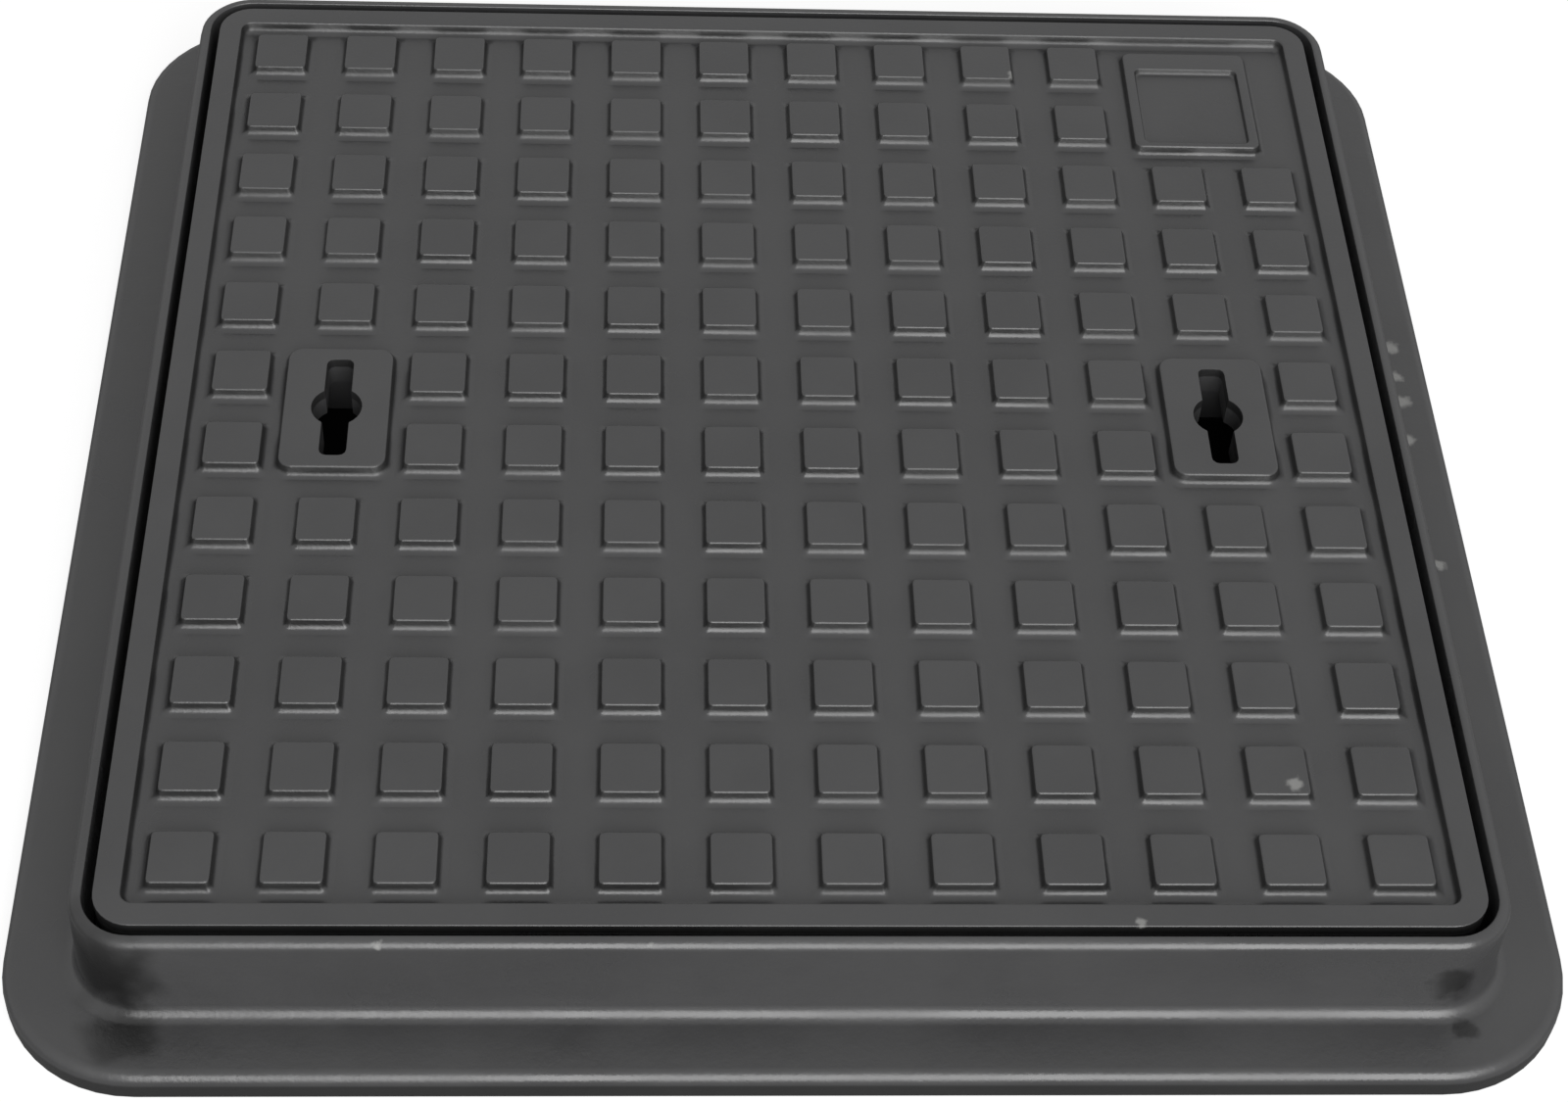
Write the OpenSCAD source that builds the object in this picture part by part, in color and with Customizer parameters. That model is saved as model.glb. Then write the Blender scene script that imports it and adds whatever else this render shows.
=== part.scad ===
// Square cast-iron manhole cover in its frame, for a path or a driveway.
// The origin is the middle of the bedding face, under the frame. +Z is up,
// and the name panel is in the corner towards +X and +Y.
// All sizes are in millimetres.

/* [Frame] */
// Inside width of the square pocket that takes the cover
pocket_w = 529; // [500:1:560]
// Inside radius of the pocket's corners
pocket_r = 19; // [18:1:24]
// Height of the rim above the bedding face
frame_h = 55; // [50:1:70]
// Thickness of the pocket wall at its rim
rim_t = 5; // [4:0.5:8]
// How much thicker the wall grows down to the flange
wall_draft = 2; // [1:0.5:6]
// Thickness of the flange
flange_t = 12; // [8:1:14]
// How far the flange reaches out from the foot of the wall
flange_reach = 28.5; // [16:0.5:50]
// Radius of the fillet between the wall and the flange
foot_r = 6; // [2:0.5:8]
// Rounding of the flange's upper edge
flange_edge_r = 5; // [1:0.5:6]
// Rounding of the rim's outer edge
rim_edge_r = 4; // [0.5:0.5:4]

/* [Seat] */
// Width of the ledge that the cover rests on
seat_w = 20; // [14:1:30]
// Thickness of the ledge
seat_t = 10; // [7:0.5:12]
// Corner radius of the clear opening inside the ledge
opening_r = 12; // [8:1:30]

/* [Cover] */
// Clearance between the cover and the pocket wall, on each side
cover_gap = 4; // [2:0.5:5]
// Depth of the cover from its top face to the foot of its skirt
cover_h = 35; // [30:1:36]
// Width of the raised border along its top
border_w = 10; // [8:0.5:11]
// Run of the border's sloping inner side
border_draft = 1.5; // [1:0.5:2]
// Height of the border, the studs and the pads above the field
relief_h = 5; // [3:0.5:6]
// Thickness of the plate under the field
plate_t = 9; // [7:0.5:12]
// Rounding of the cover's upper outer edge
cover_edge_r = 1.5; // [0.5:0.5:2]

/* [Studs] */
// Studs in each row
stud_columns = 12; // [8:1:13]
// Rows of studs
stud_rows = 12; // [8:1:13]
// Width of a square stud where it meets the field
stud_base = 27; // [24:0.5:28]
// Run of a stud's sloping sides
stud_draft = 2.5; // [1:0.5:4]
// Clear channel between the outer studs and the border
stud_margin = 5.5; // [4:0.5:10]

/* [Key slots] */
// Width of the plain raised pad round each key slot
pad_w = 48; // [44:1:52]
// Length of the pad
pad_l = 72; // [66:1:76]
// Corner radius of the pad
pad_r = 6; // [3:0.5:8]
// Width of the key slot
slot_w = 11; // [8:0.5:14]
// Length of the key slot
slot_l = 55; // [44:1:58]
// Corner radius at the ends of the key slot
slot_r = 3; // [1:0.5:4]
// Width of the round eye in the middle of the key slot
eye_d = 21; // [16:0.5:26]
// Inside width of the key chamber under the slot
chamber_w = 56; // [50:1:60]
// Inside length of the key chamber
chamber_l = 59; // [59:1:66]
// Thickness of the chamber's walls
chamber_wall = 8; // [6:0.5:10]

/* [Name panel] */
// Width of the raised panel in the far right corner
panel_w = 62; // [56:1:66]
// Length of the raised panel
panel_l = 70; // [60:1:74]
// Width of the panel's raised edge at its left and right
panel_side = 7; // [5:0.5:12]
// Width of the panel's raised edge at its near side
panel_near = 5; // [4:0.5:12]
// Width of the panel's raised edge at its far side
panel_far = 14; // [5:0.5:20]
// Depth of the bare sunk face inside the panel's edge
panel_sink = 3; // [1:0.5:3]
// How far the panel stands off the middle of the studs it replaces, across
panel_shift_x = -9; // [-10:0.5:0]
// How far the panel stands off the middle of the studs it replaces, along
panel_shift_y = -4; // [-6:0.5:0]

/* [Underside] */
// Thickness of the cover's skirt at its foot
skirt_t = 8; // [6:0.5:10]
// How much thicker the skirt grows up to the plate
skirt_draft = 2; // [1:0.5:3]
// Ribs in each direction
rib_count = 7; // [7:1:9]
// Thickness of a rib at its foot
rib_t = 6; // [5:0.5:8]
// Run of a rib's sloping sides
rib_draft = 1; // [0.5:0.5:1.5]
// Height of the ribs' feet above the foot of the skirt
rib_lift = 2; // [1:0.5:4]

/* [Hidden] */
$fn = 48;
// How deep one casting form runs into the next, so that they are one metal
root = 1;
cover_w = pocket_w - 2 * cover_gap;
cover_r = pocket_r - cover_gap;
opening_w = pocket_w - 2 * seat_w;
seat_z = frame_h - cover_h;
field_z = frame_h - relief_h;
plate_z = field_z - plate_t;
rib_z = seat_z + rib_lift;
foot_x = rim_t + wall_draft;
flange_x = foot_x + flange_reach;
field_w = cover_w - 2 * (border_w + border_draft);
pitch_x = (field_w - 2 * stud_margin - stud_base) / (stud_columns - 1);
pitch_y = (field_w - 2 * stud_margin - stud_base) / (stud_rows - 1);
slot_x = (stud_columns / 2 - 1.5) * pitch_x;
panel_x = (stud_columns / 2 - 1) * pitch_x + panel_shift_x;
panel_y = (stud_rows / 2 - 1) * pitch_y + panel_shift_y;
rib_pitch = (cover_w - skirt_t) / (rib_count + 1);
iron = [0.30, 0.30, 0.31];

// Points on an arc about a centre, from one angle to another
function arc(centre, radius, start, end, steps = 4) = [
    for (i = [0 : steps])
        let (angle = start + (end - start) * i / steps)
            centre + radius * [cos(angle), sin(angle)]
];

// A flat square with rounded corners, drawn about the origin
module rounded_rect(width, length, radius) {
    square([width, length - 2 * radius], center = true);
    square([width - 2 * radius, length], center = true);
    for (x = [-1, 1], y = [-1, 1])
        translate([x * (width / 2 - radius), y * (length / 2 - radius)])
            circle(r = radius);
}

// Carries a wall's section round a square with rounded corners. The
// section's x runs outwards from the square's outline, and its y is height.
module round_square_ring(width, radius) {
    straight = width - 2 * radius;
    for (turn = [0 : 90 : 270])
        rotate([0, 0, turn]) {
            translate([width / 2, straight / 2, 0])
                rotate([90, 0, 0])
                    linear_extrude(straight)
                        children();
            translate([straight / 2, straight / 2, 0])
                rotate_extrude(angle = 90)
                    translate([radius, 0])
                        children();
        }
}

// A bar along Y whose sides slope in from its foot to its top
module tapered_bar(foot, run, height, length) {
    rotate([90, 0, 0])
        linear_extrude(length, center = true)
            polygon([
                [-foot / 2, 0],
                [foot / 2, 0],
                [foot / 2 - run, height],
                [run - foot / 2, height]
            ]);
}

// A block whose four sides slope in from its foot to its top
module tapered_block(width, length, run, height) {
    intersection() {
        tapered_bar(width, run, height, length);
        rotate([0, 0, 90])
            tapered_bar(length, run, height, width);
    }
}

// The frame's wall and flange, seen in section from the pocket's face
module frame_section() {
    polygon(concat(
        [[0, 0], [flange_x, 0]],
        arc([flange_x - flange_edge_r, flange_t - flange_edge_r], flange_edge_r, 0, 90),
        arc([foot_x + foot_r, flange_t + foot_r], foot_r, 270, 180),
        arc([rim_t - rim_edge_r, frame_h - rim_edge_r], rim_edge_r, 0, 90),
        [[0, frame_h]]
    ));
}

// The ledge inside the pocket, with the clear opening through it
module seat() {
    translate([0, 0, seat_z - seat_t])
        linear_extrude(seat_t)
            difference() {
                rounded_rect(pocket_w + rim_t, pocket_w + rim_t, pocket_r + rim_t / 2);
                rounded_rect(opening_w, opening_w, opening_r);
            }
}

module frame() {
    color(iron) {
        round_square_ring(pocket_w, pocket_r)
            frame_section();
        seat();
    }
}

// The cover's border and skirt, seen in section from the cover's edge
module border_section() {
    border_x = border_w + border_draft;
    polygon(concat(
        [[0, seat_z]],
        arc([-cover_edge_r, frame_h - cover_edge_r], cover_edge_r, 0, 90),
        [
            [-border_w, frame_h],
            [-border_x, field_z],
            [-border_x, plate_z],
            [-skirt_t - skirt_draft, plate_z],
            [-skirt_t, seat_z]
        ]
    ));
}

// The plate, whose edge ends inside the skirt
module plate() {
    translate([0, 0, plate_z])
        linear_extrude(plate_t)
            rounded_rect(cover_w - skirt_t, cover_w - skirt_t, cover_r - skirt_t / 2);
}

// True where a stud at this place would meet a rectangle that takes its room
function meets(x, y, centre_x, centre_y, width, length) =
    abs(x - centre_x) < (width + stud_base) / 2
    && abs(y - centre_y) < (length + stud_base) / 2;

// True where a stud gives way to a key pad or to the name panel
function left_out(x, y) =
    meets(abs(x), y, slot_x, 0, pad_w, pad_l)
    || meets(x, y, panel_x, panel_y, panel_w, panel_l);

module stud() {
    translate([0, 0, field_z - root])
        tapered_block(
            stud_base + 2 * stud_draft * root / relief_h,
            stud_base + 2 * stud_draft * root / relief_h,
            stud_draft * (relief_h + root) / relief_h,
            relief_h + root
        );
}

module studs() {
    for (column = [0 : stud_columns - 1], row = [0 : stud_rows - 1]) {
        x = (column - (stud_columns - 1) / 2) * pitch_x;
        y = (row - (stud_rows - 1) / 2) * pitch_y;
        if (!left_out(x, y))
            translate([x, y, 0])
                stud();
    }
}

// The plain pad round a key slot, with rounded corners and sloping sides
module key_pad() {
    translate([0, 0, field_z - root])
        intersection() {
            tapered_block(
                pad_w + 2 * stud_draft * root / relief_h,
                pad_l + 2 * stud_draft * root / relief_h,
                stud_draft * (relief_h + root) / relief_h,
                relief_h + root
            );
            linear_extrude(relief_h + root)
                rounded_rect(pad_w, pad_l, pad_r);
        }
}

// The opening for a lifting key, a slot with a round eye in its middle
module key_slot() {
    translate([0, 0, plate_z - root])
        linear_extrude(plate_t + relief_h + 2 * root) {
            rounded_rect(slot_w, slot_l, slot_r);
            circle(d = eye_d);
        }
}

// The walls of the chamber in which the key's head turns
module chamber_walls() {
    translate([0, 0, (rib_z + plate_z + root) / 2])
        cube([
            chamber_w + 2 * chamber_wall,
            chamber_l + 2 * chamber_wall,
            plate_z + root - rib_z
        ], center = true);
}

module chamber_hollow() {
    translate([0, 0, (rib_z - root + plate_z) / 2])
        cube([chamber_w, chamber_l, plate_z - rib_z + root], center = true);
}

// A raised panel with a bare sunk face, where such covers carry a name
module name_panel() {
    translate([panel_x, panel_y, field_z])
        difference() {
            translate([0, 0, -root])
                tapered_block(
                    panel_w + 2 * stud_draft * root / relief_h,
                    panel_l + 2 * stud_draft * root / relief_h,
                    stud_draft * (relief_h + root) / relief_h,
                    relief_h + root
                );
            translate([0, (panel_near - panel_far) / 2, relief_h + root])
                mirror([0, 0, 1])
                    tapered_block(
                        panel_w - 2 * panel_side + 2 * root,
                        panel_l - panel_near - panel_far + 2 * root,
                        root,
                        panel_sink + root
                    );
        }
}

// One rib along Y, hung under the plate and tapering down to its foot
module rib() {
    depth = plate_z + root - rib_z;
    translate([0, 0, plate_z + root])
        mirror([0, 0, 1])
            tapered_bar(rib_t + 2 * rib_draft, rib_draft, depth, cover_w - skirt_t);
}

module ribs() {
    for (turn = [0, 90], i = [1 : rib_count])
        rotate([0, 0, turn])
            translate([(i - (rib_count + 1) / 2) * rib_pitch, 0, 0])
                rib();
}

module at_key_slots() {
    for (side = [-1, 1])
        translate([side * slot_x, 0, 0])
            children();
}

module cover() {
    color(iron)
        difference() {
            union() {
                round_square_ring(cover_w, cover_r)
                    border_section();
                plate();
                studs();
                name_panel();
                ribs();
                at_key_slots() {
                    key_pad();
                    chamber_walls();
                }
            }
            at_key_slots() {
                key_slot();
                chamber_hollow();
            }
        }
}

frame();
cover();
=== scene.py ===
# %% [markdown]
# # A square manhole cover in its frame
#
# This lesson dresses a cast-iron manhole cover. The real thing is two sand castings,
# painted with thin black bitumen paint: a frame that is bedded in mortar, and a cover
# that drops into it. Everything that makes it look like a casting is small. Each stud
# has a soft top edge and a fillet at its foot, the walls lean a little so that the
# pattern could be drawn out of the sand, and the paint is uneven.
#
# The solids of the part are loaded first. They fix every size and place. The two
# castings are then modelled again, over the same sizes, with the fillets and rounded
# edges that catch the light.

# %% Load the solids
from math import atan2, cos, degrees, hypot, radians, sin, tan

import bmesh
import bpy
from mathutils import Matrix, Vector


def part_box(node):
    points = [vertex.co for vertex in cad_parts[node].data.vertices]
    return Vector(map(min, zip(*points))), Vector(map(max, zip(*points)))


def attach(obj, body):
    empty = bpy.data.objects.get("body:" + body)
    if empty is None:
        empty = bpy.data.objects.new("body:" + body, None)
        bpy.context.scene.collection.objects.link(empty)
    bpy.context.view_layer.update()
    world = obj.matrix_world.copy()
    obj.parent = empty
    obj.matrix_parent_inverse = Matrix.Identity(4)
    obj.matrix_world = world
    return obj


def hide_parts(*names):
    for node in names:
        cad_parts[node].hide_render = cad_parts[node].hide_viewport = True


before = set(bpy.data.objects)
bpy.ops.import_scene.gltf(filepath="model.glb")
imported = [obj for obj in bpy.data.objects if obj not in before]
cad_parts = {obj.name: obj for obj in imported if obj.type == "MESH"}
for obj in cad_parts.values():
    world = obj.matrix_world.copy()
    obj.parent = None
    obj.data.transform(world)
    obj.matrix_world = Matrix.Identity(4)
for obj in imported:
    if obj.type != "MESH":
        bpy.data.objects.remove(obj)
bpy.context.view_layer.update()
frame_low, frame_high = (Vector(corner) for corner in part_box("frame"))
cover_low, cover_high = (Vector(corner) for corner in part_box("cover"))
print("frame", frame_low, frame_high)
print("cover", cover_low, cover_high)

# %% [markdown]
# ## Sizes
#
# The outlines are read from the solids. The rest are the sizes of the castings, in
# metres, as a pattern maker would list them.

# %% Sizes of the castings
MM = 0.001

flange_w = frame_high.x - frame_low.x
rim_z = frame_high.z
cover_w = cover_high.x - cover_low.x
seat_z = cover_low.z

gap = 4 * MM
pocket_w = cover_w + 2 * gap
pocket_r = 19 * MM
rim_t = 5 * MM
wall_draft = 2 * MM
flange_t = 12 * MM
seat_w = 20 * MM
seat_t = 10 * MM
opening_r = 12 * MM

relief_h = 5 * MM
field_z = rim_z - relief_h
plate_t = 9 * MM
plate_z = field_z - plate_t
border_w = 10 * MM
border_draft = 1.5 * MM

stud_count = 12
stud_base = 27 * MM
stud_draft = 2.5 * MM
stud_margin = 5.5 * MM
field_w = cover_w - 2 * (border_w + border_draft)
pitch = (field_w - 2 * stud_margin - stud_base) / (stud_count - 1)
print("stud pitch", round(pitch / MM, 2), "mm")

# %% [markdown]
# ## A section that walks
#
# A casting's edge is easiest to describe as a walk: go straight, turn with a radius, go
# straight again. `section` changes such a walk into short steps, each with a run inwards
# and a rise. The steps are then given to Inset or Extrude one after another, and every
# casting here is made from them.


# %% Section helper
def section(heading, moves, arc_step=30):
    """Steps (inwards, up) of a walk that starts at a heading in degrees.

    A move is a length, or a pair of a radius and a turn in degrees.
    """
    steps = []
    for move in moves:
        if not isinstance(move, tuple):
            steps.append((move * cos(radians(heading)), move * sin(radians(heading))))
            continue
        radius, turn = move
        count = max(1, round(abs(turn) / arc_step))
        chord = 2 * radius * sin(radians(abs(turn) / count / 2))
        for _ in range(count):
            middle = radians(heading + turn / count / 2)
            steps.append((chord * cos(middle), chord * sin(middle)))
            heading += turn / count
    return steps


def reach(steps):
    """Total run and rise of some steps."""
    return sum(step[0] for step in steps), sum(step[1] for step in steps)


print("a quarter round of 2 mm has", len(section(90, [(2 * MM, -90)])), "steps")

# %% [markdown]
# ## Helpers for edit mode
#
# An operator works on what is selected. These helpers select faces or edges by where
# they lie and which way they face, so each step of the modelling says in words what it
# takes hold of.


# %% Selection helpers
def leave_edit():
    if bpy.context.object and bpy.context.object.mode == "EDIT":
        bpy.ops.object.mode_set(mode="OBJECT")


def pick(pieces):
    """Select only these objects. The first one is the active one."""
    leave_edit()
    bpy.ops.object.select_all(action="DESELECT")
    for piece in pieces:
        piece.select_set(True)
    bpy.context.view_layer.objects.active = pieces[0]


def edit(piece):
    pick([piece])
    bpy.ops.object.mode_set(mode="EDIT")


def select_faces(test):
    """Select the faces for which test(centre, normal) is true."""
    bpy.ops.mesh.select_mode(type="FACE")
    bpy.ops.mesh.select_all(action="DESELECT")
    shape = bmesh.from_edit_mesh(bpy.context.object.data)
    for face in shape.faces:
        if test(face.calc_center_bounds(), face.normal):
            face.select_set(True)
    bmesh.update_edit_mesh(bpy.context.object.data)


def select_edges(test):
    """Select the edges for which test(edge, middle) is true."""
    bpy.ops.mesh.select_mode(type="EDGE")
    bpy.ops.mesh.select_all(action="DESELECT")
    shape = bmesh.from_edit_mesh(bpy.context.object.data)
    for edge in shape.edges:
        if test(edge, (edge.verts[0].co + edge.verts[1].co) / 2):
            edge.select_set(True)
    bmesh.update_edit_mesh(bpy.context.object.data)


def select_rim(test=lambda middle: True):
    """Select the open edges whose middle passes the test."""
    select_edges(lambda edge, middle: len(edge.link_faces) < 2 and test(middle))


def near(value, target, slack=0.02 * MM):
    return abs(value - target) < slack


def open_edges(piece):
    """How many edges of a piece don't join exactly two faces."""
    shape = bmesh.new()
    shape.from_mesh(piece.data)
    count = sum(1 for edge in shape.edges if len(edge.link_faces) != 2)
    shape.free()
    return count


# %% [markdown]
# ## Helpers that shape
#
# Two ways of carrying a face along a section are used. Inset keeps every outline
# parallel, as a drawn section does, so it suits the big rounded squares. A small stud is
# extruded and scaled instead, which keeps its corner points and can't cross over itself.


# %% Shaping helpers
def rounded_plane(name, width, length, radius, height, centre=(0, 0), corner_steps=8):
    """A flat face with rounded corners, left in edit mode and selected."""
    leave_edit()
    bpy.ops.object.select_all(action="DESELECT")
    bpy.ops.mesh.primitive_plane_add(size=1, location=(centre[0], centre[1], height))
    plane = bpy.context.object
    plane.name = name
    plane.scale = (width, length, 1)
    bpy.ops.object.transform_apply(location=True, rotation=False, scale=True)
    edit(plane)
    bpy.ops.mesh.select_all(action="SELECT")
    bpy.ops.mesh.bevel(
        offset=radius, offset_type="OFFSET", segments=corner_steps, affect="VERTICES")
    bpy.ops.mesh.select_all(action="SELECT")
    return plane


def raise_inset(steps, facing=1):
    """Carry the selected faces along a section, keeping parallel outlines.

    The depth of an inset goes along the faces' normal, so facing is -1 for faces that
    look down.
    """
    for inwards, up in steps:
        if near(inwards, 0, 0.0001 * MM):
            bpy.ops.mesh.extrude_region_move(TRANSFORM_OT_translate={"value": (0, 0, up)})
        else:
            bpy.ops.mesh.inset(thickness=inwards, depth=up * facing, use_even_offset=True)


def raise_scaled(steps, width, length, centre):
    """Carry one face along a section by scaling it, which keeps its corner points."""
    for inwards, up in steps:
        bpy.ops.mesh.extrude_region_move(TRANSFORM_OT_translate={"value": (0, 0, up)})
        new_width = width - 2 * inwards
        new_length = length - 2 * inwards
        bpy.ops.transform.resize(
            value=(new_width / width, new_length / length, 1),
            center_override=(centre[0], centre[1], 0))
        width, length = new_width, new_length
    return width, length


def bisect_at(axis, place, test):
    """Bisect the faces that pass the test, at a place on an axis.

    Bisect moves its cut to any point within its threshold, which is 0.1 mm unless it is
    told otherwise. A smaller one keeps the cut where it is asked for.
    """
    select_faces(test)
    normal = Vector((1, 0, 0)) if axis == "X" else Vector((0, 1, 0))
    bpy.ops.mesh.bisect(plane_co=place * normal, plane_no=normal, threshold=0.005 * MM)


def finish_casting(piece, sharp_angle=42, flat_weight=80):
    """Point the faces outwards, shade the fillets smooth and keep the flats flat.

    Edges that turn by more than the sharp angle, in degrees, stay sharp. A weight over 50
    lets the large flat faces count for more than the small ones of the fillets.
    """
    edit(piece)
    bpy.ops.mesh.select_all(action="SELECT")
    bpy.ops.mesh.normals_make_consistent(inside=False)
    leave_edit()
    pick([piece])
    bpy.ops.object.shade_smooth_by_angle(angle=radians(sharp_angle))
    bpy.ops.object.modifier_add(type="WEIGHTED_NORMAL")
    even = piece.modifiers[-1]
    even.keep_sharp = True
    even.weight = flat_weight
    bpy.ops.object.modifier_apply(modifier=even.name)
    print(piece.name, len(piece.data.polygons), "faces,", open_edges(piece), "open edges")


# %% [markdown]
# ## The frame
#
# The frame is one ring. Its section climbs from the bedding face over the flange, up the
# leaning wall, over the thin rim and down to the seat inside. The outline is a square
# with rounded corners, and every line of the section runs parallel to it, so the whole
# ring is a flat face that is inset again and again.

# %% Frame, from the flange up over the rim and down to the seat
flange_x = (flange_w - pocket_w) / 2
flange_edge_r = 5 * MM
foot_r = 6 * MM
rim_edge_r = 4 * MM
pocket_edge_r = 0.8 * MM
seat_fillet_r = 2 * MM
wall_h = rim_z - flange_t
wall_lean = degrees(atan2(wall_h, wall_draft))

flange_walk = section(90, [flange_t - flange_edge_r, (flange_edge_r, -90)])
foot_walk = section(0, [(foot_r, wall_lean)])
rim_walk = section(wall_lean, [(rim_edge_r, -wall_lean)])
wall_rise = wall_h - reach(foot_walk)[1] - reach(rim_walk)[1]
wall_run = wall_rise / tan(radians(wall_lean))
foot_x = rim_t + wall_draft + foot_r * tan(radians(wall_lean / 2))
rim_x = foot_x - reach(foot_walk)[0] - wall_run - reach(rim_walk)[0]

frame_casting = rounded_plane(
    "frame_casting", flange_w, flange_w, pocket_r + flange_x, 0, corner_steps=12)
raise_inset(flange_walk)
raise_inset([(flange_x - flange_edge_r - foot_x, 0)])
raise_inset(foot_walk)
raise_inset([(wall_run, wall_rise)])
raise_inset(rim_walk)
raise_inset([(rim_x - pocket_edge_r, 0)])
raise_inset(section(0, [(pocket_edge_r, -90)]))
raise_inset(section(-90, [rim_z - seat_z - pocket_edge_r - seat_fillet_r, (seat_fillet_r, 90)]))
bpy.ops.mesh.delete(type="FACE")

# %% [markdown]
# The bedding face and the groove under the ledge are carried on from the outline at the
# foot, in the same way. The clear opening has corners of its own, so the lip of the
# ledge is a second ring. Bridge could join it to the rest, but it can pair two square
# loops a quarter turn apart. Fill closes the flat strip between two loops without a
# choice to make, so it is used for every flat join here.

# %% Frame, underside and clear opening
ledge_z = seat_z - seat_t
select_faces(lambda middle, normal: near(middle.z, 0))
raise_inset([(flange_x, 0), (0, ledge_z)])
bpy.ops.mesh.delete(type="FACE")
leave_edit()

lip_r = 1.5 * MM
lip_w = pocket_w - 2 * seat_w + 2 * lip_r
opening_ring = rounded_plane(
    "opening_ring", lip_w, lip_w, opening_r + lip_r, ledge_z, corner_steps=12)
raise_scaled(section(0, [(lip_r, 90), seat_t - 2 * lip_r, (lip_r, 90)]), lip_w, lip_w, (0, 0))
select_faces(lambda middle, normal: abs(normal.z) > 0.99)
bpy.ops.mesh.delete(type="FACE")
pick([frame_casting, opening_ring])
bpy.ops.object.join()
edit(frame_casting)
for height in (seat_z, ledge_z):
    select_rim(lambda middle: near(middle.z, height, 0.1 * MM))
    bpy.ops.mesh.fill()
finish_casting(frame_casting)

# %% [markdown]
# ## The cover: plate and border
#
# The cover starts as a rounded square too. Its outer side goes up from the foot of the
# skirt, over the border and down to the sunk field between the studs. The face that is
# left is the field.
#
# All the relief on the cover has one kind of side: a round at the foot, a steep and very
# short straight, and a round at the top. `soft_side` works it out for any two radii, and
# `run_to_half` tells where such a side is half way up. There it meets the plain slope of
# the solids.


# %% Cover, outer side, border and field
def soft_side(foot_r, top_r, lean=78):
    """Steps from the foot of the relief up to its top."""
    straight = (relief_h - (foot_r + top_r) * (1 - cos(radians(lean)))) / sin(radians(lean))
    foot_steps = section(0, [(foot_r, lean), straight], arc_step=26)
    return foot_steps + section(lean, [(top_r, -lean)], arc_step=39)


def run_to_half(steps):
    """How far a side runs outwards from its top until it is half way down."""
    run = drop = 0
    for inwards, up in reversed(steps):
        if drop + up >= relief_h / 2:
            return run + inwards * (relief_h / 2 - drop) / up
        run, drop = run + inwards, drop + up


cover_r = 15 * MM
cover_edge_r = 0.6 * MM
border_side = soft_side(3.0 * MM, 1.2 * MM)
border_flat = border_w + border_draft / 2 - cover_edge_r - run_to_half(border_side)

cover_casting = rounded_plane("cover_casting", cover_w, cover_w, cover_r, seat_z, corner_steps=8)
raise_inset(section(90, [rim_z - seat_z - cover_edge_r, (cover_edge_r, -90)]))
raise_inset([(border_flat, 0)])
raise_inset([(inwards, -up) for inwards, up in reversed(border_side)])
field_half = cover_w / 2 - cover_edge_r - border_flat - reach(border_side)[0]
print("flat field from", round(-field_half / MM, 2), "to", round(field_half / MM, 2), "mm")

# %% [markdown]
# ## A tile with a stud
#
# There are 136 studs, so one is modelled with care and the others are copies. It is made
# as a tile: a flat square border at the level of the field, and inside it the soft side
# and the flat top. Holes of the same square are then cut in the field, and a tile is
# dropped into each one. Its points are merged with the hole's, so that the plate and its
# studs are one skin, as they are one casting.


# %% Tile helper
def raised_block(name, width, length, radius, side, centre=(0, 0), corner_steps=3):
    """A raised block, open below and left in edit mode with its top selected.

    The width and the length are those half way up, and the radius is that of the corners
    at its foot. Returns half the width and half the length of its foot and of its top.
    """
    spread = reach(side)[0] - run_to_half(side)
    foot_w, foot_l = width + 2 * spread, length + 2 * spread
    rounded_plane(name, foot_w, foot_l, radius, field_z, centre, corner_steps)
    top_w, top_l = raise_scaled(side, foot_w, foot_l, centre)
    select_faces(lambda middle, normal: near(middle.z, field_z))
    bpy.ops.mesh.delete(type="FACE")
    select_faces(lambda middle, normal: near(middle.z, rim_z))
    return (foot_w / 2, foot_l / 2), (top_w / 2, top_l / 2)


stud_r = 2.4 * MM
stud_foot, stud_top = raised_block(
    "stud", stud_base - stud_draft, stud_base - stud_draft, stud_r,
    soft_side(3.4 * MM, 1.0 * MM), corner_steps=2)
stud = bpy.context.object

# Half the width of the tile. A narrow strip of flat field goes round the stud's foot.
cell = stud_foot[0] + 0.35 * MM
bpy.ops.mesh.select_all(action="DESELECT")
bpy.ops.mesh.primitive_plane_add(size=2 * cell, location=(0, 0, field_z))
bpy.ops.mesh.delete(type="ONLY_FACE")
select_rim()
bpy.ops.mesh.fill()
leave_edit()
print("one stud has", len(stud.data.polygons), "faces; its foot is",
      round(2 * stud_foot[0] / MM, 1), "mm wide and its flat top", round(2 * stud_top[0] / MM, 1))

# %% [markdown]
# ## Key pads and corner panel
#
# Two plain pads carry the slots for the lifting keys, and a bare panel with a sunk face
# fills the far right corner. Their rounds are a little tighter than the studs', because
# a pad stands close to its neighbours. The panel's top is extruded and scaled to a
# smaller rectangle that stands a little nearer, and is then let down to its sunk face.

# %% Pads and panel
slot_x = 4.5 * pitch
pad_w, pad_l, pad_r = 48 * MM, 72 * MM, 6.5 * MM
panel_w, panel_l, panel_r = 62 * MM, 70 * MM, 4 * MM
panel_x = 5 * pitch - 9 * MM
panel_y = 5 * pitch - 4 * MM
pad_side = soft_side(2.6 * MM, 1.2 * MM)

pads = []
for side in (-1, 1):
    pad_foot, _ = raised_block(
        "pad", pad_w - stud_draft, pad_l - stud_draft, pad_r, pad_side,
        (side * slot_x, 0), corner_steps=5)
    pads.append(bpy.context.object)
    leave_edit()

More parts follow.
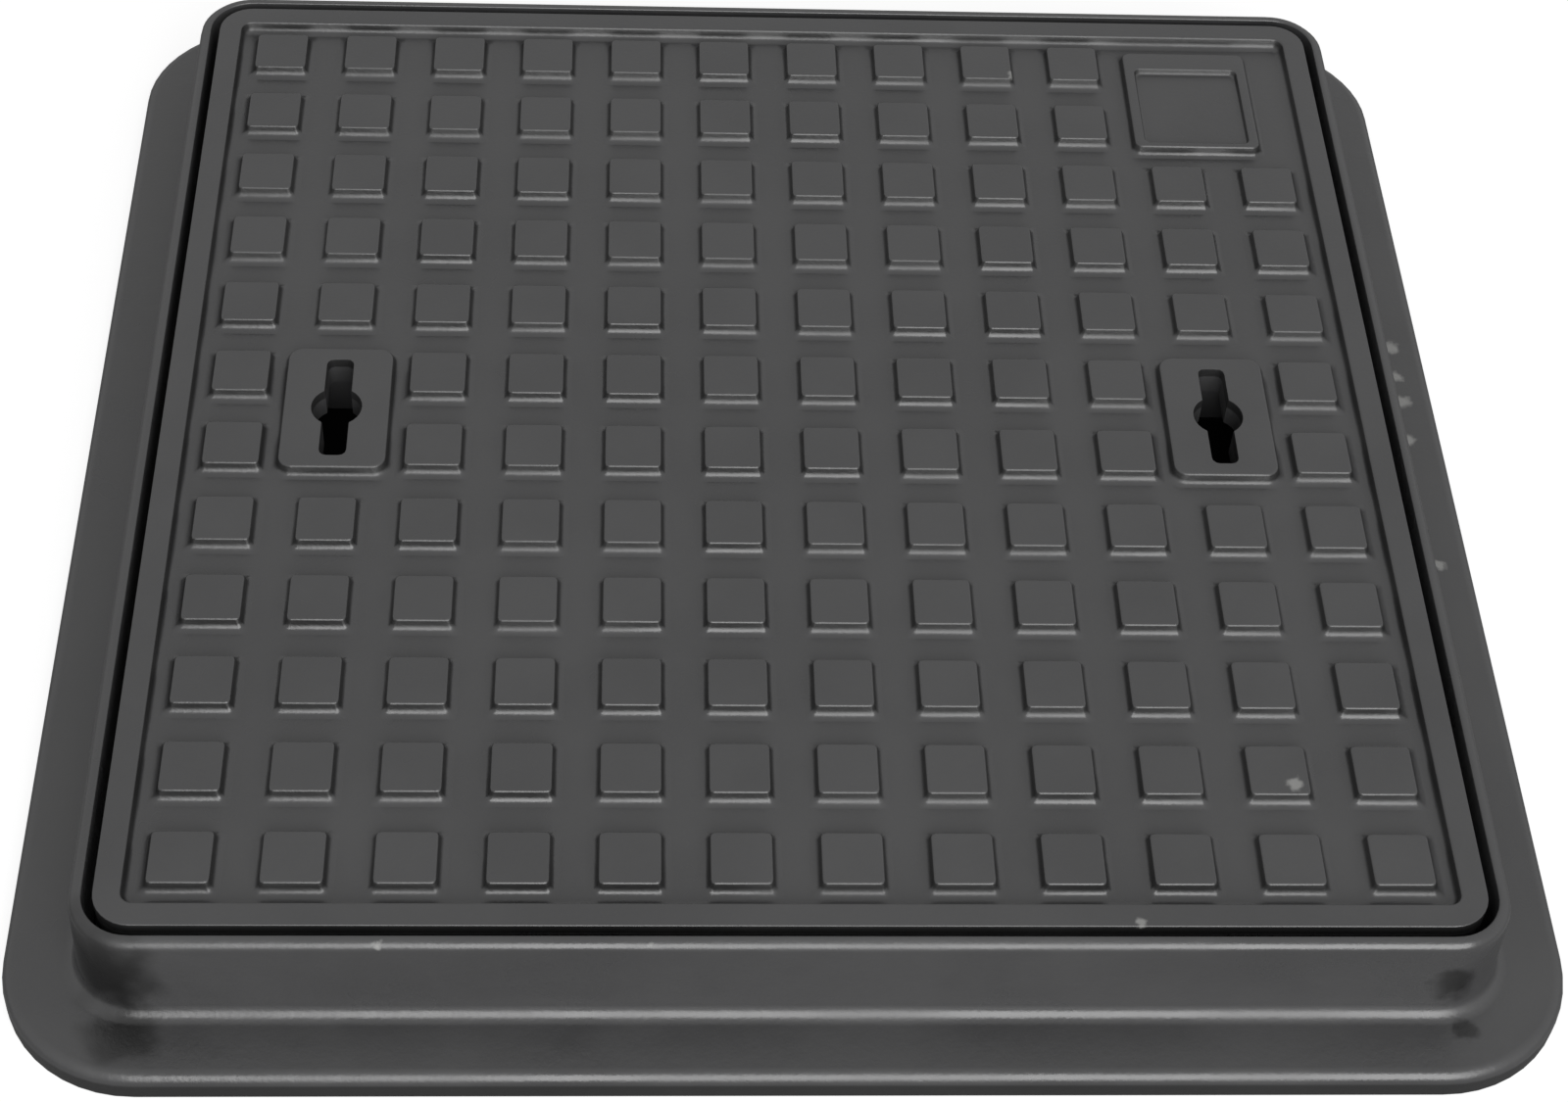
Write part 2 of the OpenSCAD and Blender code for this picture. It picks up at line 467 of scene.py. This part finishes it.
panel_foot, panel_top = raised_block(
    "panel", panel_w - stud_draft, panel_l - stud_draft, panel_r, pad_side,
    (panel_x, panel_y), corner_steps=4)
panel = bpy.context.object

# The width and the length of the sunk face are those at the top of its sides.
sunk_w, sunk_l, sunk_y = 50.5 * MM, 53.5 * MM, panel_y - 4.5 * MM
sunk_side = section(0, [(0.7 * MM, -75), 1.45 * MM, (1.2 * MM, 75)])
bpy.ops.mesh.extrude_region_move(TRANSFORM_OT_translate={"value": (0, sunk_y - panel_y, 0)})
bpy.ops.transform.resize(
    value=(sunk_w / 2 / panel_top[0], sunk_l / 2 / panel_top[1], 1),
    center_override=(panel_x, sunk_y, 0))
raise_scaled(sunk_side, sunk_w, sunk_l, (panel_x, sunk_y))
leave_edit()
print("sunk face", round(sunk_w / MM, 1), "by", round(sunk_l / MM, 1), "mm, let down by",
      round(-reach(sunk_side)[1] / MM, 1))

# %% [markdown]
# ## Cutting the field into cells
#
# Bisect draws straight lines over the field, on both sides of every row of studs and
# round the pads and the panel. The cells that the tiles will fill are then deleted.


# %% Cells for the tiles
def on_field(middle, normal):
    return near(middle.z, field_z) and normal.z > 0.99


block_margin = 0.3 * MM
cell_slack = 2 * MM
stud_places = [(index - (stud_count - 1) / 2) * pitch for index in range(stud_count)]
pad_cell = [half + block_margin for half in pad_foot]
panel_cell = [half + block_margin for half in panel_foot]


def in_pad(x, y, more=0):
    return abs(abs(x) - slot_x) < pad_cell[0] + more and abs(y) < pad_cell[1] + more


def in_panel(x, y, more=0):
    return abs(x - panel_x) < panel_cell[0] + more and abs(y - panel_y) < panel_cell[1] + more


def gives_way(x, y):
    """True where a stud gives way to a pad or to the panel."""
    return in_pad(x, y, cell - cell_slack) or in_panel(x, y, cell - cell_slack)


def in_stud_cell(x, y):
    return any(near(x, stud_x, cell_slack) and near(y, stud_y, cell_slack)
               for stud_x, stud_y in stud_cells)


stud_cells = [(x, y) for x in stud_places for y in stud_places if not gives_way(x, y)]
print(len(stud_cells), "studs")

edit(cover_casting)
for axis in ("X", "Y"):
    for place in stud_places:
        bisect_at(axis, place - cell, on_field)
        bisect_at(axis, place + cell, on_field)
for side in (-1, 1):
    bisect_at("X", side * (slot_x - pad_cell[0]), on_field)
    bisect_at("X", side * (slot_x + pad_cell[0]), on_field)
    bisect_at("Y", side * pad_cell[1], on_field)
low_x, high_x = panel_x - panel_cell[0], panel_x + panel_cell[0]
low_y, high_y = panel_y - panel_cell[1], panel_y + panel_cell[1]
bisect_at("X", low_x, on_field)
bisect_at("Y", low_y, on_field)

# The two sides of the panel towards the corner are cut only beside the panel, and not
# across the strips that lie outside the last studs.
last = stud_places[-1] + cell
bisect_at("X", high_x, lambda middle, normal: (
    on_field(middle, normal) and middle.x > low_x and low_y < middle.y < last))
bisect_at("Y", high_y, lambda middle, normal: (
    on_field(middle, normal) and middle.y > low_y and low_x < middle.x < last))
select_faces(lambda middle, normal: on_field(middle, normal) and (
    in_pad(middle.x, middle.y) or in_panel(middle.x, middle.y)
    or in_stud_cell(middle.x, middle.y)))
bpy.ops.mesh.delete(type="FACE")
leave_edit()

# %% Drop the tiles into their cells
tiles = []
for x, y in stud_cells:
    tile = stud.copy()
    tile.data = stud.data.copy()
    tile.data.transform(Matrix.Translation((x, y, 0)))
    bpy.context.collection.objects.link(tile)
    tiles.append(tile)
bpy.data.objects.remove(stud)
pick([cover_casting, panel] + pads + tiles)
bpy.ops.object.join()
edit(cover_casting)
bpy.ops.mesh.select_all(action="SELECT")
bpy.ops.mesh.remove_doubles(threshold=0.02 * MM)
for x, y in ((-slot_x, 0), (slot_x, 0), (panel_x, panel_y)):
    select_rim(lambda middle: near(middle.x, x, 60 * MM) and near(middle.y, y, 60 * MM))
    bpy.ops.mesh.fill()
leave_edit()
print("open edges on top:", open_edges(cover_casting))

# %% [markdown]
# ## The cover: skirt, ribs and key chambers
#
# A road or path cover is thin between deep ribs, which keeps it stiff for its weight.
# Underneath, the foot of the skirt is inset from the outline, and the face inside it is
# set back to the feet of the ribs. It is bisected along both sides of each rib and of
# the two chambers in which a lifting key turns. The cells between the ribs are then sunk
# to the plate, all at once, with a little draft and a fillet at their roots, and the
# hollows of the two chambers follow with a smaller fillet.

# %% Underside
skirt_t = 8 * MM
skirt_draft = 0.2 * MM
rib_t = 6 * MM
rib_z = seat_z + 2 * MM
rib_root_r = 3 * MM
rib_pitch = (cover_w - skirt_t) / 8
rib_places = [index * rib_pitch for index in range(-3, 4)]
rib_side = rib_places[-2] + rib_t / 2
chamber_t = 8 * MM
chamber_root_r = 1 * MM
hollow = (28 * MM, 29.5 * MM)
chamber = (hollow[0] + chamber_t, hollow[1] + chamber_t)
cell_lean = degrees(atan2(20, 1))


def on_feet(middle, normal):
    return near(middle.z, rib_z) and abs(normal.z) > 0.99


def by_slot(middle, box):
    return abs(abs(middle.x) - slot_x) < box[0] and abs(middle.y) < box[1]


def on_rib(middle):
    return any(near(middle.x, place, rib_t / 2) or near(middle.y, place, rib_t / 2)
               for place in rib_places)


edit(cover_casting)
bpy.ops.mesh.select_all(action="SELECT")
bpy.ops.mesh.normals_make_consistent(inside=False)
select_faces(lambda middle, normal: near(middle.z, seat_z))
raise_inset([(skirt_t, 0), (skirt_draft, rib_z - seat_z)], facing=-1)
for place in rib_places:
    for edge in (place - rib_t / 2, place + rib_t / 2):
        bisect_at("X", edge, on_feet)
        bisect_at("Y", edge, on_feet)
for side in (-1, 1):
    for box in (hollow, chamber):
        for edge in (slot_x - box[0], slot_x + box[0]):
            bisect_at("X", side * edge, lambda middle, normal: (
                on_feet(middle, normal) and abs(middle.x) > rib_side
                and abs(middle.y) < rib_pitch - rib_t / 2))
        bisect_at("Y", side * box[1], lambda middle, normal: (
            on_feet(middle, normal) and abs(middle.x) > rib_side))

for root_r, test in (
        (rib_root_r, lambda middle: not by_slot(middle, chamber) and not on_rib(middle)),
        (chamber_root_r, lambda middle: by_slot(middle, hollow))):
    select_faces(lambda middle, normal: on_feet(middle, normal) and test(middle))
    straight = (plate_z - rib_z) / sin(radians(cell_lean)) - root_r * tan(radians(cell_lean / 2))
    raise_inset(section(cell_lean, [straight, (root_r, -cell_lean)]), facing=-1)
leave_edit()
print("open edges with the underside:", open_edges(cover_casting))

# %% [markdown]
# ## Key slots
#
# Each slot is a long opening with a round eye in its middle, where the head of the key
# goes in before it is turned. A Boolean takes the slots out first and the eyes second,
# and the new upper rim gets a small bevel, because sharp iron chips there.

# %% Key slots
slot_w, slot_l, slot_r, eye_d = 11 * MM, 55 * MM, 3 * MM, 21 * MM
slot_bevel = 0.9 * MM

# How far the two kinds of tool stand out of the iron at either end.
slot_clear, eye_clear = 3 * MM, 4 * MM
slot_tools = []
eye_tools = []
for side in (-1, 1):
    slot_tools.append(rounded_plane(
        "slot_tool", slot_w, slot_l, slot_r, plate_z - slot_clear, (side * slot_x, 0),
        corner_steps=3))
    raise_inset([(0, rim_z - plate_z + 2 * slot_clear)])
    bpy.ops.mesh.select_all(action="SELECT")
    bpy.ops.mesh.normals_make_consistent(inside=False)
    leave_edit()
    bpy.ops.object.select_all(action="DESELECT")
    bpy.ops.mesh.primitive_cylinder_add(
        vertices=32, radius=eye_d / 2, depth=rim_z - plate_z + 2 * eye_clear,
        location=(side * slot_x, 0, (rim_z + plate_z) / 2))
    bpy.ops.object.transform_apply(location=True)
    eye_tools.append(bpy.context.object)
for tools in (slot_tools, eye_tools):
    pick(tools)
    bpy.ops.object.join()
    tool = bpy.context.object
    pick([cover_casting])
    bpy.ops.object.modifier_add(type="BOOLEAN")
    cut = cover_casting.modifiers[-1]
    cut.operation = "DIFFERENCE"
    cut.solver = "EXACT"
    cut.object = tool
    bpy.ops.object.modifier_apply(modifier=cut.name)
    bpy.data.objects.remove(tool)


def slot_rim(edge, middle):
    """True for the edges between a pad's flat top and the wall of its slot."""
    if not near(middle.z, rim_z) or not by_slot(middle, (slot_w, slot_l)):
        return False
    tilts = sorted(abs(face.normal.z) for face in edge.link_faces)
    return len(tilts) == 2 and near(tilts[0], 0, 0.05) and near(tilts[1], 1, 0.05)


edit(cover_casting)
select_edges(slot_rim)
bpy.ops.mesh.bevel(offset=slot_bevel, segments=2, affect="EDGES", clamp_overlap=False)
finish_casting(cover_casting)

# %% [markdown]
# ## Looks: black paint on sand-cast iron
#
# The castings are dipped in thin bitumen paint. It has a soft gloss, and it shows the
# skin of the sand mould beneath: a fine grain, and wider lumps where the mould moved.
# Painted shade darkens the steep sides of the relief, and a few knocks have gone through to
# the grey iron; some pale spots are painted glints. Each of these effects is a node group
# with named inputs, built once here and placed in both paints with its own values.


# %% Node helpers
def add_node(tree, kind, settings=None, inputs=None):
    """A new node. An input is given a value, or a socket that is linked to it."""
    node = tree.nodes.new(kind)
    for label, value in (settings or {}).items():
        setattr(node, label, value)
    for label, value in (inputs or {}).items():
        if isinstance(value, bpy.types.NodeSocket):
            tree.links.new(value, node.inputs[label])
        else:
            node.inputs[label].default_value = value
    return node


def new_group(name, inputs, outputs):
    """An empty shader node group.

    Returns the group, the sockets that bring its inputs in and those of its outputs.
    """
    group = bpy.data.node_groups.new(name, "ShaderNodeTree")
    for way, sockets in (("INPUT", inputs), ("OUTPUT", outputs)):
        for label, kind in sockets.items():
            group.interface.new_socket(label, in_out=way, socket_type="NodeSocket" + kind)
    given = group.nodes.new("NodeGroupInput").outputs
    wanted = group.nodes.new("NodeGroupOutput").inputs
    return group, given, wanted


def calc(tree, operation, first, second=0.0):
    node = add_node(tree, "ShaderNodeMath", {"operation": operation}, {0: first, 1: second})
    return node.outputs[0]


def weighed(tree, first, weight, second):
    """The first value times its weight, plus the second one times the rest of 1."""
    return calc(
        tree, "ADD", calc(tree, "MULTIPLY", first, weight),
        calc(tree, "MULTIPLY", second, 1 - weight))


def split(tree, vector):
    """The sockets X, Y and Z of a vector."""
    return add_node(tree, "ShaderNodeSeparateXYZ", None, {0: vector}).outputs


def ramp(tree, value, low, high):
    """A value changed smoothly to 0 at low and 1 at high. High may be the smaller one."""
    node = add_node(
        tree, "ShaderNodeMapRange", {"interpolation_type": "SMOOTHSTEP", "clamp": True},
        {"Value": value, "From Min": low, "From Max": high})
    return node.outputs["Result"]


def noise(tree, vector, scale, detail=2.0, roughness=0.5):
    """Noise from 0 to 1. The scale is about the number of its lumps in a metre."""
    node = add_node(
        tree, "ShaderNodeTexNoise", None,
        {"Vector": vector, "Scale": scale, "Detail": detail, "Roughness": roughness})
    return node.outputs["Fac"]


def mixed(tree, share, first, second):
    """One colour over another by a share from 0 to 1."""
    node = add_node(tree, "ShaderNodeMix", {"data_type": "RGBA"}, {"Factor": share})
    for socket, value in ((node.inputs[6], first), (node.inputs[7], second)):
        if isinstance(value, bpy.types.NodeSocket):
            tree.links.new(value, socket)
        else:
            socket.default_value = value
    return node.outputs[2]


# %% Skin of the mould
grain, given, wanted = new_group(
    "mould_grain", {"Vector": "Vector", "Grain": "Float", "Lumps": "Float"}, {"Height": "Float"})
fine_weight = 0.35
fine = noise(grain, given["Vector"], given["Grain"], detail=3.0, roughness=0.6)
wide = noise(grain, given["Vector"], given["Lumps"])
grain.links.new(weighed(grain, fine, fine_weight, wide), wanted["Height"])
print(grain.name, "has", len(grain.nodes), "nodes")

# %% Uneven paint
uneven, given, wanted = new_group(
    "uneven_paint",
    {"Vector": "Vector", "Thin": "Color", "Thick": "Color", "Blotches": "Float"},
    {"Color": "Color", "Blotch": "Float"})
blotch_weight = 0.7
clouds = noise(uneven, given["Vector"], given["Blotches"], detail=4.0, roughness=0.55)
blotch = ramp(uneven, clouds, low=0.3, high=0.7)
speckle = noise(uneven, given["Vector"], scale=420.0, roughness=0.7)
share = weighed(uneven, blotch, blotch_weight, speckle)
uneven.links.new(mixed(uneven, share, given["Thick"], given["Thin"]), wanted["Color"])
uneven.links.new(blotch, wanted["Blotch"])
print(uneven.name, "has", len(uneven.nodes), "nodes")

# %% Painted shade on steep sides between two levels
steep, given, wanted = new_group(
    "steep_sides",
    {"Vector": "Vector", "Normal": "Vector", "Low": "Float", "High": "Float", "Soft": "Float"},
    {"Mask": "Float"})
level = split(steep, given["Vector"])["Z"]
above = ramp(steep, level, calc(steep, "SUBTRACT", given["Low"], given["Soft"]), given["Low"])
below = ramp(steep, level, calc(steep, "ADD", given["High"], given["Soft"]), given["High"])
leaning = ramp(steep, split(steep, given["Normal"])["Z"], low=0.84, high=0.45)
mask = calc(steep, "MULTIPLY", leaning, calc(steep, "MULTIPLY", above, below))
steep.links.new(mask, wanted["Mask"])
print(steep.name, "has", len(steep.nodes), "nodes")

# %% Knocks strewn over the casting
knocks, given, wanted = new_group(
    "knocks", {"Vector": "Vector", "Scale": "Float", "Share": "Float", "Size": "Float"},
    {"Mask": "Float"})
fray_weight = 0.15
core_share = 0.7
cells = add_node(
    knocks, "ShaderNodeTexVoronoi", None, {"Vector": given["Vector"], "Scale": given["Scale"]})
lot = add_node(knocks, "ShaderNodeSeparateColor", None, {0: cells.outputs["Color"]}).outputs[0]
chosen = calc(knocks, "LESS_THAN", lot, given["Share"])
fray = calc(knocks, "MULTIPLY", noise(knocks, given["Vector"], scale=900.0), fray_weight)
ragged = calc(knocks, "ADD", cells.outputs["Distance"], fray)
core = calc(knocks, "MULTIPLY", given["Size"], core_share)
inside = ramp(knocks, ragged, given["Size"], core)
knocks.links.new(calc(knocks, "MULTIPLY", chosen, inside), wanted["Mask"])
print(knocks.name, "has", len(knocks.nodes), "nodes")

# %% A soft patch at a given place: a dark patch, a knock or a painted glint
placed_patch, given, wanted = new_group(
    "placed_patch", {"Vector": "Vector", "Place": "Vector", "Reach": "Float"}, {"Mask": "Float"})
swirls = 1.2
wander_share = 1.2
core_share = 0.35
away = add_node(
    placed_patch, "ShaderNodeVectorMath", {"operation": "DISTANCE"},
    {0: given["Vector"], 1: given["Place"]}).outputs["Value"]
swirl = noise(placed_patch, given["Vector"], calc(placed_patch, "DIVIDE", swirls, given["Reach"]))
wander = calc(placed_patch, "MULTIPLY", given["Reach"], calc(placed_patch, "SUBTRACT", swirl, 0.5))
outline = calc(placed_patch, "ADD", away, calc(placed_patch, "MULTIPLY", wander, wander_share))
core = calc(placed_patch, "MULTIPLY", given["Reach"], core_share)
placed_patch.links.new(ramp(placed_patch, outline, given["Reach"], core), wanted["Mask"])
print(placed_patch.name, "has", len(placed_patch.nodes), "nodes")

# %% [markdown]
# ## The two paints
#
# The frame and the cover share one way of building a paint, because they come from the
# same foundry and the same dip. Their masks differ. On the cover the steep sides of the
# relief get painted shade, and there are three pale spots, partly knocks and partly painted
# glints. On the frame the lower part of the flange's edge gets a painted dark reflection of
# the ground, both near corners have dark patches, and there are pale knocks along the flange
# on the right, and pale spots on the near side of the rim that are partly painted glints.

# %% Paint
thin_paint = (0.049, 0.049, 0.050, 1)
thick_paint = (0.037, 0.037, 0.038, 1)
# The dark colour: painted shade on the steep sides, a painted dark reflection on the flange's
# edge, and the dark patches at the near corners.
dark_tone = (0.006, 0.006, 0.006, 1)
# The pale colour of bare iron, used for knocks and for painted glints.
bare_iron_and_glint = (0.30, 0.30, 0.29, 1)
paint_gloss = 0.8

thick_roughness = 0.24
more_where_thin = 0.18
more_in_shade_bands = 0.1
more_where_pale = 0.2
pale_spot_share = 0.65


def paint(name, shade_bands, dark_patches, pale_spots):
    """A paint with bands of painted shade and reflection by height, dark patches and pale spots at
    given places.

    A band is its lowest and highest level, the height over which it fades out, and its
    strength. A dark patch is its place, its reach and its strength. A pale spot is its place
    and its reach; these spots are partly knocks and partly painted glints.
    """
    material = bpy.data.materials.new(name)
    material.use_nodes = True
    tree = material.node_tree
    shader = tree.nodes["Principled BSDF"]
    place = add_node(tree, "ShaderNodeTexCoord").outputs["Object"]
    facing = add_node(tree, "ShaderNodeNewGeometry").outputs["Normal"]

    def use(group, inputs):
        return add_node(tree, "ShaderNodeGroup", {"node_tree": group}, {"Vector": place, **inputs})

    def add_rough(rough, mask, more):
        return calc(tree, "ADD", rough, calc(tree, "MULTIPLY", mask, more))

    coat = use(uneven, {"Thin": thin_paint, "Thick": thick_paint, "Blotches": 14.0})
    color = coat.outputs["Color"]
    rough = add_rough(thick_roughness, coat.outputs["Blotch"], more_where_thin)
    # Painted shade and painted dark reflection: each band darkens the colour on steep faces
    # between two levels, and makes them a little rougher.
    for low, high, soft, strength in shade_bands:
        band = {"Normal": facing, "Low": low, "High": high, "Soft": soft}
        mask = calc(tree, "MULTIPLY", use(steep, band).outputs["Mask"], strength)
        color = mixed(tree, mask, color, dark_tone)
        rough = add_rough(rough, mask, more_in_shade_bands)
    # Dark patches at given places, darkening the colour.
    for where, size, strength in dark_patches:
        mask = use(placed_patch, {"Place": where, "Reach": size}).outputs["Mask"]
        color = mixed(tree, calc(tree, "MULTIPLY", mask, strength), color, dark_tone)
    # Pale spots in the colour of bare iron: random knocks, and placed spots that are partly knocks
    # and partly painted glints.
    knock_and_glint = use(knocks, {"Scale": 60.0, "Share": 0.04, "Size": 0.07}).outputs["Mask"]
    for where, size in pale_spots:
        mask = use(placed_patch, {"Place": where, "Reach": size}).outputs["Mask"]
        knock_and_glint = calc(tree, "MAXIMUM", knock_and_glint, mask)
    color = mixed(tree, calc(tree, "MULTIPLY", knock_and_glint, pale_spot_share), color, bare_iron_and_glint)
    rough = add_rough(rough, knock_and_glint, more_where_pale)
    skin = use(grain, {"Grain": 620.0, "Lumps": 95.0}).outputs["Height"]
    bump = add_node(
        tree, "ShaderNodeBump", None, {"Strength": 0.3, "Distance": 0.9 * MM, "Height": skin})
    tree.links.new(color, shader.inputs["Base Color"])
    tree.links.new(rough, shader.inputs["Roughness"])
    tree.links.new(bump.outputs["Normal"], shader.inputs["Normal"])
    shader.inputs["Specular IOR Level"].default_value = paint_gloss
    return material


# Painted dark reflection of the ground: steep faces up to 6.5 mm, the lower part of the flange's
# edge, are darkened.
flange_dark_reflection = [(-0.001, 0.0065, 0.0015, 0.95)]
# Dark patches at the two near corners, on the wall and on the flange.
left_dark_patches = [((-0.256, -0.263, 0.036), 0.027, 1.0), ((-0.250, -0.281, 0.012), 0.019, 0.95)]
right_dark_patches = [((0.249, -0.273, 0.030), 0.0125, 1.0), ((0.2555, -0.2792, 0.012), 0.0065, 1.0)]
flange_nicks = [
    ((0.2850, 0.084, 0.012), 0.0052), ((0.2848, 0.065, 0.012), 0.0042),
    ((0.2850, 0.050, 0.012), 0.0054), ((0.2842, 0.026, 0.012), 0.0044),
    ((0.2855, -0.047, 0.012), 0.0036)]
# Pale spots on the near rim, partly knocks and partly painted glints.
rim_knocks_and_glints = [((-0.1547, -0.2692, 0.055), 0.0030), ((-0.0546, -0.2692, 0.055), 0.0022)]
frame_paint = paint(
    "frame_paint", flange_dark_reflection, left_dark_patches + right_dark_patches, flange_nicks + rim_knocks_and_glints)

# Painted shade on the steep sides of the relief and on its rounded top edges, the cover's outer
# edge among them.
relief_shade = [(0.0505, 0.0551, 0.0004, 0.9)]
# Pale spots on the cover's top, partly knocks and partly painted glints.
cover_knocks_and_glints = [
    ((0.1166, 0.2217, 0.055), 0.0034), ((0.1942, -0.1949, 0.055), 0.0040),
    ((0.1273, -0.2588, 0.055), 0.0026)]
cover_paint = paint("cover_paint", relief_shade, [], cover_knocks_and_glints)
for piece, material in ((frame_casting, frame_paint), (cover_casting, cover_paint)):
    piece.data.materials.clear()
    piece.data.materials.append(material)
print("paints:", frame_paint.name, cover_paint.name)

# %% [markdown]
# ## Floor, light and background
#
# The castings lie on a plain pale floor, under an even sky that lights the level faces.
# One large soft lamp stands low in front of them. Every round that leans towards it,
# at the foot of a stud, the foot of the wall and the edge of the flange, shows its
# reflection as a pale line, and the steep sides fall away. The background is white
# because the camera sees the world at full strength and a glow in the floor, and the
# floor still shows the shadow. Inside the frame the floor's colour is nearly black, a
# painted shade for the chamber under such a cover, so the key slots look dark. From below
# the floor is see-through, also for the light that then falls on the underside, so that
# the ribs can be looked at.

# %% Floor
floor_size = 12
floor_z = -0.3 * MM
bpy.ops.object.select_all(action="DESELECT")
bpy.ops.mesh.primitive_plane_add(size=floor_size, location=(0, 0, floor_z))
floor = bpy.context.object
floor.name = "floor"
bpy.ops.object.transform_apply(location=True)
print("floor", floor_size, "m wide, at", round(floor_z / MM, 1), "mm")

# %% Floor's material
# Nearly black: painted shade for the chamber inside the frame.
chamber_shade = (0.01, 0.01, 0.01, 1)
pale_grey = (0.3, 0.3, 0.3, 1)
glow_strength = 0.78


def seen_directly(tree):
    """1 for camera and transmission rays, else 0."""
    rays = add_node(tree, "ShaderNodeLightPath").outputs
    return calc(tree, "MAXIMUM", rays["Is Camera Ray"], rays["Is Transmission Ray"])


floor_white = bpy.data.materials.new("floor_white")
floor_white.use_nodes = True
tree = floor_white.node_tree
matt = tree.nodes["Principled BSDF"]
matt.inputs["Roughness"].default_value = 0.85
matt.inputs["Specular IOR Level"].default_value = 0.1

# Painted shade inside the frame, nearly black for the chamber under such a cover; pale and glowing
# outside it.
spot = split(tree, add_node(tree, "ShaderNodeTexCoord").outputs["Object"])
off_centre = calc(
    tree, "MAXIMUM", calc(tree, "ABSOLUTE", spot["X"]), calc(tree, "ABSOLUTE", spot["Y"]))
open_floor = calc(tree, "GREATER_THAN", off_centre, pocket_w / 2)
tree.links.new(mixed(tree, open_floor, chamber_shade, pale_grey), matt.inputs["Base Color"])
glowing = calc(tree, "MULTIPLY", seen_directly(tree), open_floor)
glow = add_node(
    tree, "ShaderNodeEmission", None,
    {"Color": (1, 1, 1, 1), "Strength": calc(tree, "MULTIPLY", glowing, glow_strength)})
from_above = add_node(tree, "ShaderNodeAddShader", None, {0: matt.outputs[0], 1: glow.outputs[0]})

# See-through for rays that come from below, and for those that have passed it before.
underside = add_node(tree, "ShaderNodeNewGeometry").outputs["Backfacing"]
passed = add_node(tree, "ShaderNodeLightPath").outputs["Transparent Depth"]
from_below = calc(tree, "MAXIMUM", underside, calc(tree, "GREATER_THAN", passed, 0.5))
clear = add_node(tree, "ShaderNodeBsdfTransparent")
one_sided = add_node(
    tree, "ShaderNodeMixShader", None,
    {0: from_below, 1: from_above.outputs[0], 2: clear.outputs[0]})
tree.links.new(one_sided.outputs[0], tree.nodes["Material Output"].inputs["Surface"])
floor.data.materials.append(floor_white)
print("material", floor_white.name, "has", len(tree.nodes), "nodes")

# %% World
sky_light = 0.50
sky_sheen = 0.60
world = bpy.data.worlds.new("studio")
bpy.context.scene.world = world
world.use_nodes = True
tree = world.node_tree
sky = tree.nodes["Background"]
sky.inputs["Color"].default_value = (1, 1, 1, 1)
mirrored = add_node(tree, "ShaderNodeLightPath").outputs["Is Glossy Ray"]
strength = calc(tree, "ADD", sky_light, calc(tree, "MULTIPLY", seen_directly(tree), 1 - sky_light))
strength = calc(tree, "ADD", strength, calc(tree, "MULTIPLY", mirrored, sky_sheen - sky_light))
tree.links.new(strength, sky.inputs["Strength"])
bpy.context.scene.view_settings.view_transform = "Standard"
print("sky", sky_light, "as light,", sky_sheen, "in reflections")

# %% Lamp
lamp_place = Vector((0.6, -3.0, 1.75))
lamp = bpy.data.lights.new("front", "AREA")
lamp.shape = "SQUARE"
lamp.size = 3.0
lamp.energy = 125
lamp_object = bpy.data.objects.new("front", lamp)
bpy.context.collection.objects.link(lamp_object)
lamp_object.location = lamp_place
lamp_object.rotation_euler = (-lamp_place).to_track_quat("-Z", "Y").to_euler()
print("lamp", lamp.name, lamp.size, "m wide, at", round(lamp_place.length, 1), "m")

# %% [markdown]
# ## Camera
#
# The photograph was taken from in front and above, a little to the left. The camera's
# place and turn were solved from the corners of the castings and the rows of studs, and
# the lens follows from the same solution.

# %% Camera
camera_place = Vector((-0.0636, -0.8603, 0.9731))
looks_along = Vector((0.0520, 0.6474, -0.7604))
picture_right = Vector((0.99861, -0.02777, 0.04469))

camera = bpy.data.cameras.new("camera")
camera.lens = 67.77
camera.sensor_width = 36
camera.sensor_fit = "HORIZONTAL"
camera_object = bpy.data.objects.new("camera", camera)
bpy.context.collection.objects.link(camera_object)
back = -looks_along.normalized()
up = back.cross(picture_right).normalized()
right = up.cross(back)
turn = Matrix((right, up, back)).transposed().to_4x4()
camera_object.matrix_world = Matrix.Translation(camera_place) @ turn
bpy.context.scene.camera = camera_object
print("camera looks down by", round(degrees(atan2(back.z, hypot(back.x, back.y))), 1), "degrees")

# %% [markdown]
# ## Bind the castings to the part
#
# Each modelled casting stands for its solid, which is then hidden.

# %% Bind and finish
for piece, node in ((frame_casting, "frame"), (cover_casting, "cover")):
    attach(piece, "root")
    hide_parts(node)
